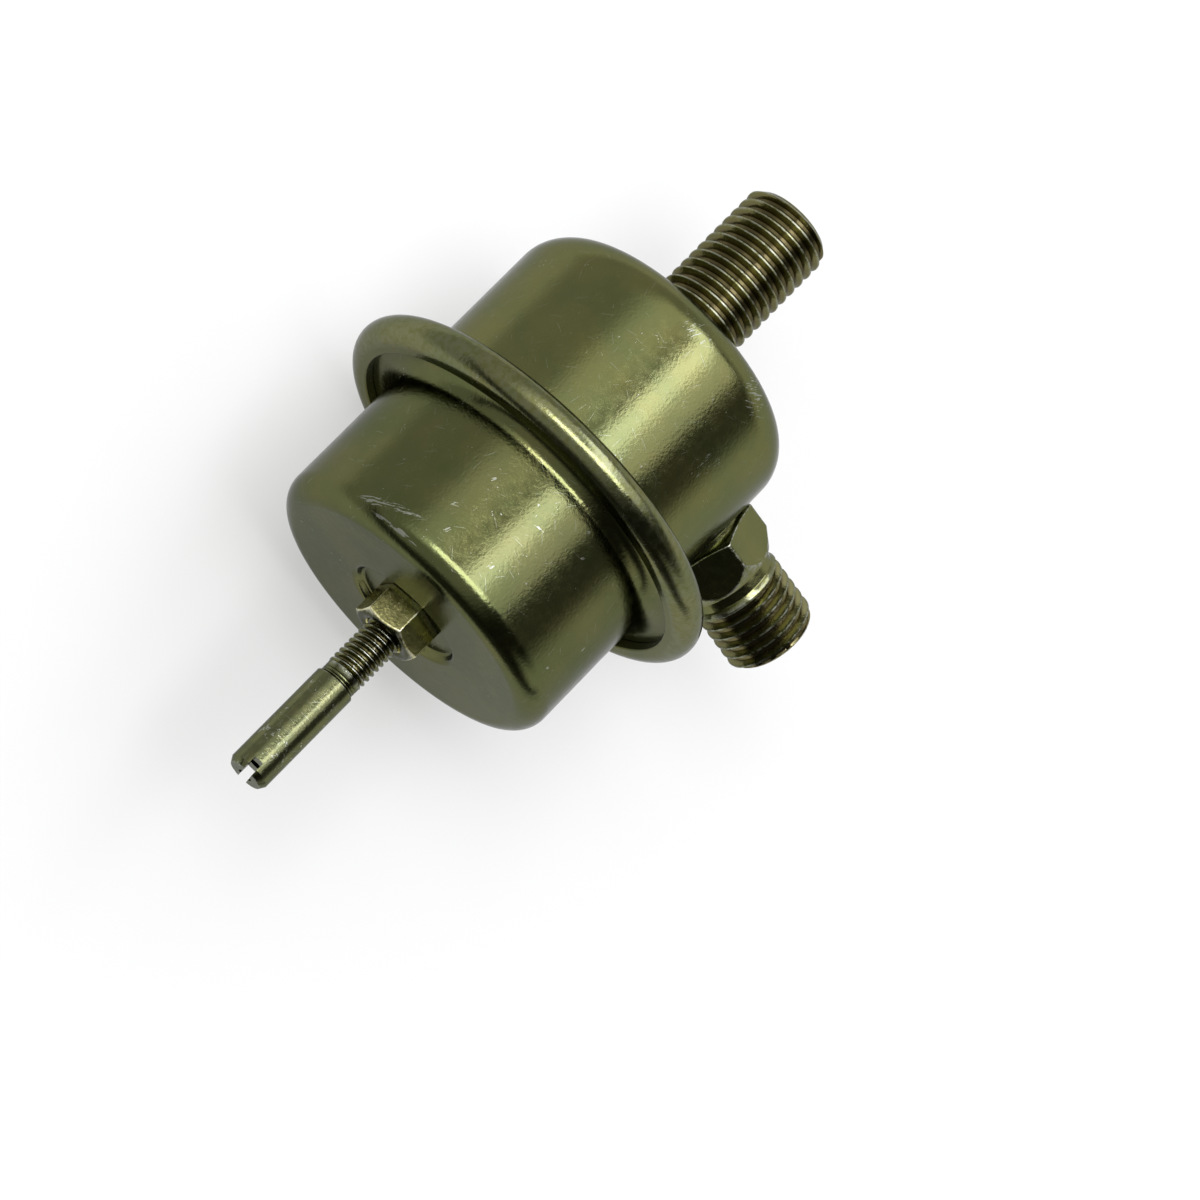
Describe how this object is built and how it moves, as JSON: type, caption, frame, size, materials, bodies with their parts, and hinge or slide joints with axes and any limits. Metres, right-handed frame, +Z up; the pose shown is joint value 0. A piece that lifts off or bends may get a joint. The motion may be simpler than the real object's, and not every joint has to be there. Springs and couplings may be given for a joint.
{
  "type": "fuel pressure regulator",
  "caption": "Adjustable fuel pressure regulator: two drawn cups joined by a rolled rim, a threaded return stud, a hexagonal inlet fitting and a slotted adjusting screw with lock nut.",
  "frame": {"origin": "on the main axis, on the end face of the fuel housing, where the return stud's thread begins", "axes": "+X along the main axis towards the adjusting screw, +Y along the inlet fitting, +Z up"},
  "size_m": [0.0944, 0.0632, 0.053],
  "materials": {
    "housing_plating": "olive-gold passivated zinc on drawn steel, satin",
    "port_plating": "olive-gold passivated zinc on turned steel",
    "adjuster_plating": "olive-gold passivated zinc on turned steel, scuffed",
    "bright_steel": "bright steel",
    "spring_steel": "oiled spring wire",
    "brass": "turned brass",
    "diaphragm_rubber": "rubberised fabric"
  },
  "bodies": {
    "housing": {"fuel_housing": "housing_plating", "spring_housing": "housing_plating", "return_stud": "port_plating", "seat_tube": "bright_steel", "inlet_fitting": "port_plating", "threaded_bush": "brass", "diaphragm": "diaphragm_rubber"},
    "valve": {"fuel_side_plate": "bright_steel", "spring_cup": "bright_steel", "valve_holder": "brass", "valve_ball": "bright_steel", "valve_disc": "bright_steel", "valve_retainer": "brass"},
    "spring_seat": {"spring_seat": "bright_steel", "main_spring": "spring_steel"},
    "adjusting_screw": {"adjusting_screw": "adjuster_plating"},
    "lock_nut": {"lock_nut": "adjuster_plating"}
  },
  "joints": [
    {"name": "valve_lift", "type": "slide", "parent": "housing", "child": "valve", "axis": [1, 0, 0], "range_m": [0, 0.0006], "stiffness_N_per_m": 15000, "deforming": ["diaphragm", "main_spring"]},
    {"name": "seat_feed", "type": "slide", "parent": "housing", "child": "spring_seat", "axis": [1, 0, 0], "range_m": [-0.0016, 0.0016], "deforming": ["main_spring"]},
    {"name": "screw_turn", "type": "hinge", "parent": "spring_seat", "child": "adjusting_screw", "pos_m": [0.05, 0, 0], "axis": [1, 0, 0], "range_deg": [-720, 720]},
    {"name": "nut_turn", "type": "hinge", "parent": "housing", "child": "lock_nut", "pos_m": [0.048, 0, 0], "axis": [1, 0, 0], "range_deg": [0, 180]}
  ],
  "couplings": [
    {"joint": "screw_turn", "follows": "seat_feed", "rad_per_m": 7854}
  ]
}
